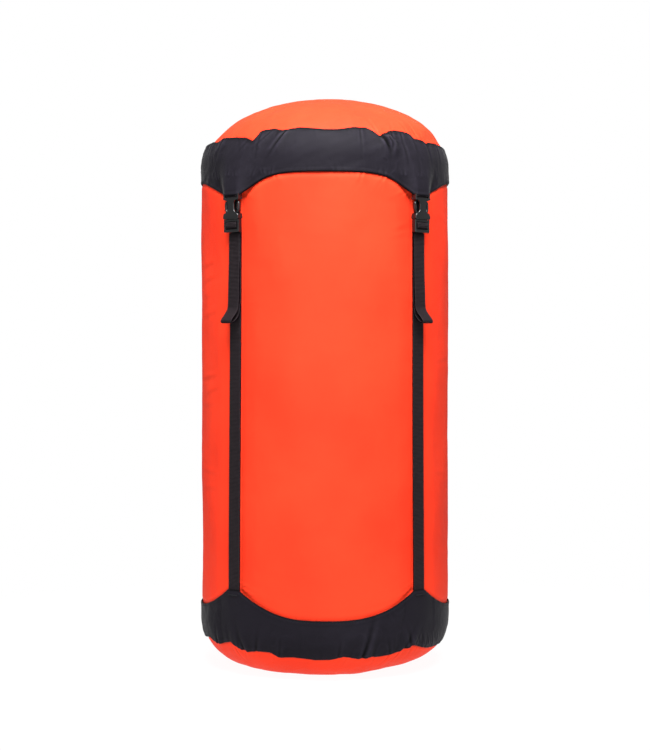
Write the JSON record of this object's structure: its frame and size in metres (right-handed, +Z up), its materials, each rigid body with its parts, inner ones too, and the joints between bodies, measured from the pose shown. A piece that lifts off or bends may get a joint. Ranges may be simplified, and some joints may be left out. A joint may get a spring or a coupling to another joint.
{
  "type": "compression sack",
  "caption": "Filled compression sack: round base, fabric tube, domed lid with a scalloped yoke at each end, webbing straps with ladder locks and side release buckles.",
  "frame": {"origin": "middle of the flat round foot, on the surface that the sack stands on", "axes": "+Z up along the sack's axis to the lid; the front faces -Y, with two straps either side of its middle; +X to the right of the front"},
  "size_m": [0.2468, 0.2468, 0.558],
  "materials": {
    "orange_fabric": "thin coated nylon, slight sheen",
    "charcoal_fabric": "thin coated nylon, slight sheen",
    "webbing": "woven flat webbing, matte",
    "buckle_plastic": "moulded acetal, satin",
    "eyelet": "moulded, satin"
  },
  "bodies": {
    "sack": {"base_panel": "orange_fabric", "base_yoke": "charcoal_fabric", "tube_lower": "orange_fabric", "bar_tacks": "webbing", "strap_front_left": "webbing", "strap_front_right": "webbing", "strap_rear_left": "webbing", "strap_rear_right": "webbing"},
    "crown": {"tube_upper": "orange_fabric", "mouth_collar": "orange_fabric", "mouth_hem": "charcoal_fabric", "mouth_eyelet": "eyelet"},
    "lid": {"lid_panel": "orange_fabric", "lid_yoke": "charcoal_fabric", "anchor_loop_front_left": "charcoal_fabric", "buckle_socket_front_left": "buckle_plastic", "anchor_loop_front_right": "charcoal_fabric", "buckle_socket_front_right": "buckle_plastic", "anchor_loop_rear_left": "charcoal_fabric", "buckle_socket_rear_left": "buckle_plastic", "anchor_loop_rear_right": "charcoal_fabric", "buckle_socket_rear_right": "buckle_plastic"},
    "adjuster_front_left": {"buckle_plug_front_left": "buckle_plastic", "strap_wrap_front_left": "webbing"},
    "latch_a_front_left": {"prong_a_front_left": "buckle_plastic"},
    "latch_b_front_left": {"prong_b_front_left": "buckle_plastic"},
    "tail_front_left": {"strap_tail_front_left": "webbing"},
    "adjuster_front_right": {"buckle_plug_front_right": "buckle_plastic", "strap_wrap_front_right": "webbing"},
    "latch_a_front_right": {"prong_a_front_right": "buckle_plastic"},
    "latch_b_front_right": {"prong_b_front_right": "buckle_plastic"},
    "tail_front_right": {"strap_tail_front_right": "webbing"},
    "adjuster_rear_left": {"buckle_plug_rear_left": "buckle_plastic", "strap_wrap_rear_left": "webbing"},
    "latch_a_rear_left": {"prong_a_rear_left": "buckle_plastic"},
    "latch_b_rear_left": {"prong_b_rear_left": "buckle_plastic"},
    "tail_rear_left": {"strap_tail_rear_left": "webbing"},
    "adjuster_rear_right": {"buckle_plug_rear_right": "buckle_plastic", "strap_wrap_rear_right": "webbing"},
    "latch_a_rear_right": {"prong_a_rear_right": "buckle_plastic"},
    "latch_b_rear_right": {"prong_b_rear_right": "buckle_plastic"},
    "tail_rear_right": {"strap_tail_rear_right": "webbing"}
  },
  "joints": [
    {"name": "compress", "type": "slide", "parent": "sack", "child": "crown", "axis": [0, 0, 1], "range_m": [-0.16, 0], "deforming": ["strap_front_left", "strap_front_right", "strap_rear_left", "strap_rear_right"]},
    {"name": "lid_lift", "type": "slide", "parent": "crown", "child": "lid", "axis": [0, 0, 1], "range_m": [0, 0.12], "deforming": ["prong_a_front_left", "prong_b_front_left", "prong_a_front_right", "prong_b_front_right", "prong_a_rear_left", "prong_b_rear_left", "prong_a_rear_right", "prong_b_rear_right"]},
    {"name": "adjust_front_left", "type": "slide", "parent": "sack", "child": "adjuster_front_left", "axis": [0, 0, 1], "range_m": [-0.16, 0], "deforming": ["strap_front_left"]},
    {"name": "squeeze_a_front_left", "type": "hinge", "parent": "adjuster_front_left", "child": "latch_a_front_left", "pos_m": [-0.08257, -0.0972, 0.4369], "axis": [-0.682, -0.7314, 0], "range_deg": [0, 6], "stiffness_Nm_per_rad": 0.1},
    {"name": "squeeze_b_front_left", "type": "hinge", "parent": "adjuster_front_left", "child": "latch_b_front_left", "pos_m": [-0.0912, -0.08915, 0.4369], "axis": [0.682, 0.7314, 0], "range_deg": [0, 6], "stiffness_Nm_per_rad": 0.1},
    {"name": "tail_swing_front_left", "type": "hinge", "parent": "adjuster_front_left", "child": "tail_front_left", "pos_m": [-0.08539, -0.09157, 0.4196], "axis": [-0.7314, 0.682, 0], "range_deg": [0, 75]},
    {"name": "adjust_front_right", "type": "slide", "parent": "sack", "child": "adjuster_front_right", "axis": [0, 0, 1], "range_m": [-0.16, 0], "deforming": ["strap_front_right"]},
    {"name": "squeeze_a_front_right", "type": "hinge", "parent": "adjuster_front_right", "child": "latch_a_front_right", "pos_m": [0.09456, -0.08558, 0.4369], "axis": [0.7096, -0.7046, 0], "range_deg": [0, 6], "stiffness_Nm_per_rad": 0.1},
    {"name": "squeeze_b_front_right", "type": "hinge", "parent": "adjuster_front_right", "child": "latch_b_front_right", "pos_m": [0.08624, -0.09396, 0.4369], "axis": [-0.7096, 0.7046, 0], "range_deg": [0, 6], "stiffness_Nm_per_rad": 0.1},
    {"name": "tail_swing_front_right", "type": "hinge", "parent": "adjuster_front_right", "child": "tail_front_right", "pos_m": [0.08884, -0.08822, 0.4196], "axis": [-0.7046, -0.7096, 0], "range_deg": [0, 75]},
    {"name": "adjust_rear_left", "type": "slide", "parent": "sack", "child": "adjuster_rear_left", "axis": [0, 0, 1], "range_m": [-0.16, 0], "deforming": ["strap_rear_left"]},
    {"name": "squeeze_a_rear_left", "type": "hinge", "parent": "adjuster_rear_left", "child": "latch_a_rear_left", "pos_m": [-0.09426, 0.08591, 0.4369], "axis": [-0.7071, 0.7071, 0], "range_deg": [0, 6], "stiffness_Nm_per_rad": 0.1},
    {"name": "squeeze_b_rear_left", "type": "hinge", "parent": "adjuster_rear_left", "child": "latch_b_rear_left", "pos_m": [-0.08591, 0.09426, 0.4369], "axis": [0.7071, -0.7071, 0], "range_deg": [0, 6], "stiffness_Nm_per_rad": 0.1},
    {"name": "tail_swing_rear_left", "type": "hinge", "parent": "adjuster_rear_left", "child": "tail_rear_left", "pos_m": [-0.08853, 0.08853, 0.4196], "axis": [0.7071, 0.7071, 0], "range_deg": [0, 75]},
    {"name": "adjust_rear_right", "type": "slide", "parent": "sack", "child": "adjuster_rear_right", "axis": [0, 0, 1], "range_m": [-0.16, 0], "deforming": ["strap_rear_right"]},
    {"name": "squeeze_a_rear_right", "type": "hinge", "parent": "adjuster_rear_right", "child": "latch_a_rear_right", "pos_m": [0.08591, 0.09426, 0.4369], "axis": [0.7071, 0.7071, 0], "range_deg": [0, 6], "stiffness_Nm_per_rad": 0.1},
    {"name": "squeeze_b_rear_right", "type": "hinge", "parent": "adjuster_rear_right", "child": "latch_b_rear_right", "pos_m": [0.09426, 0.08591, 0.4369], "axis": [-0.7071, -0.7071, 0], "range_deg": [0, 6], "stiffness_Nm_per_rad": 0.1},
    {"name": "tail_swing_rear_right", "type": "hinge", "parent": "adjuster_rear_right", "child": "tail_rear_right", "pos_m": [0.08853, 0.08853, 0.4196], "axis": [0.7071, -0.7071, 0], "range_deg": [0, 75]}
  ],
  "couplings": [
    {"joint": "adjust_front_left", "follows": "compress", "ratio": 1},
    {"joint": "squeeze_b_front_left", "follows": "squeeze_a_front_left", "ratio": 1},
    {"joint": "adjust_front_right", "follows": "compress", "ratio": 1},
    {"joint": "squeeze_b_front_right", "follows": "squeeze_a_front_right", "ratio": 1},
    {"joint": "adjust_rear_left", "follows": "compress", "ratio": 1},
    {"joint": "squeeze_b_rear_left", "follows": "squeeze_a_rear_left", "ratio": 1},
    {"joint": "adjust_rear_right", "follows": "compress", "ratio": 1},
    {"joint": "squeeze_b_rear_right", "follows": "squeeze_a_rear_right", "ratio": 1}
  ]
}
